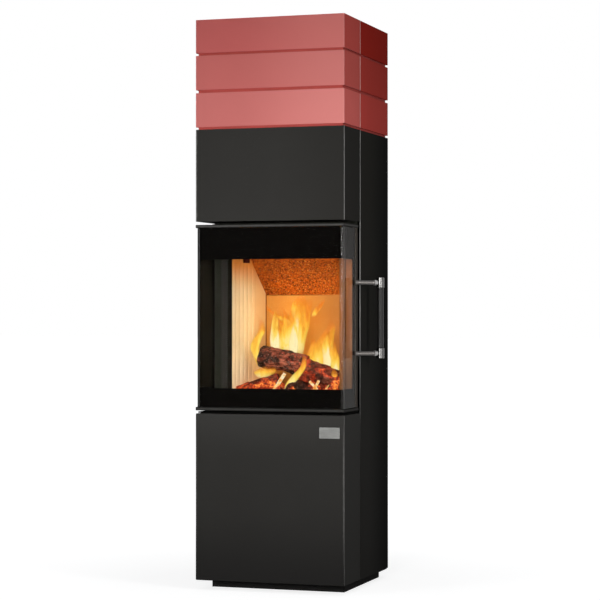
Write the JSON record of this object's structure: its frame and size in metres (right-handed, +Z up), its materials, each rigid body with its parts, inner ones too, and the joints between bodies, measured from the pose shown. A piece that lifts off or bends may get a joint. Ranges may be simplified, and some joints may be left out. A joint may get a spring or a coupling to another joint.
{
  "type": "heat storage stove",
  "caption": "Tall square wood stove with a three-sided glass fire door, slanted bar handle, base compartment door, black steel casing and stacked red storage rings on top.",
  "frame": {"origin": "centre of the underside of the plinth, which is the middle of the casing's square plan, on the floor", "axes": "+Z up along the stove's height, front towards -Y, door handle towards +X"},
  "size_m": [0.5668, 0.5371, 1.858],
  "materials": {
    "black_paint": "satin",
    "red_paint": "satin",
    "dark_steel": "matte",
    "brushed_steel": "brushed",
    "bright_steel": "polished",
    "grip_coat": "satin",
    "door_glass": "clear",
    "firebox_stone": "matte",
    "baffle_board": "matte",
    "storage_stone": "matte",
    "red_stone": "matte",
    "grate_iron": "matte",
    "seal_cord": "matte"
  },
  "bodies": {
    "stove": {"plinth": "black_paint", "base_floor": "black_paint", "base_cabinet": "black_paint", "hearth_shelf": "black_paint", "air_box": "dark_steel", "side_panel_left": "black_paint", "side_panel_right": "black_paint", "rear_panel": "black_paint", "air_spigot": "dark_steel", "base_door_lower_pin": "bright_steel", "base_door_upper_pin": "bright_steel", "face_frame": "dark_steel", "door_seal": "seal_cord", "firebox_shell": "dark_steel", "hearth_plate": "dark_steel", "hearth_slab": "firebox_stone", "grate": "grate_iron", "ash_pan": "dark_steel", "side_lining_left": "firebox_stone", "side_lining_right": "firebox_stone", "rear_lining": "firebox_stone", "lower_baffle": "baffle_board", "upper_baffle": "baffle_board", "baffle_clip": "dark_steel", "fire_door_lower_pin": "bright_steel", "fire_door_upper_pin": "bright_steel", "upper_hinge_bracket": "black_paint", "lower_keeper": "dark_steel", "upper_keeper": "dark_steel", "upper_front": "black_paint", "storage_floor": "black_paint", "storage_stone_lower": "storage_stone", "storage_stone_upper": "storage_stone", "ring_stone_bottom": "red_stone", "ring_stone_middle": "red_stone", "ring_stone_top": "red_stone", "ring_front_bottom": "red_paint", "ring_front_middle": "red_paint", "ring_front_top": "red_paint", "ring_rear_bottom": "red_paint", "ring_rear_middle": "red_paint", "ring_rear_top": "red_paint", "top_plate": "red_paint", "flue_pipe": "dark_steel"},
    "base_door": {"base_door": "black_paint", "push_plate": "brushed_steel"},
    "fire_door": {"door_bottom_plate": "black_paint", "door_top_plate": "black_paint", "door_glass": "door_glass", "hinge_stile": "black_paint", "latch_post": "black_paint"},
    "handle": {"latch_shaft": "dark_steel", "lower_arm": "brushed_steel", "upper_arm": "brushed_steel", "lower_collar": "bright_steel", "upper_collar": "bright_steel", "grip_bar": "grip_coat", "lower_hook": "dark_steel", "upper_hook": "dark_steel"},
    "air_lever": {"air_lever": "brushed_steel"}
  },
  "joints": [
    {"name": "fire_door_hinge", "type": "hinge", "parent": "stove", "child": "fire_door", "pos_m": [-0.235, -0.1065, 0.6], "axis": [0, 0, 1], "range_deg": [-100, 0]},
    {"name": "handle_turn", "type": "hinge", "parent": "fire_door", "child": "handle", "pos_m": [0.2345, -0.1085, 0.872], "axis": [0, 0, 1], "range_deg": [-40, 0]},
    {"name": "base_door_hinge", "type": "hinge", "parent": "stove", "child": "base_door", "pos_m": [-0.239, -0.0895, 0.3], "axis": [0, 0, 1], "range_deg": [-100, 0]},
    {"name": "air_lever_slide", "type": "slide", "parent": "stove", "child": "air_lever", "axis": [1, 0, 0], "range_m": [-0.03, 0.03]}
  ]
}
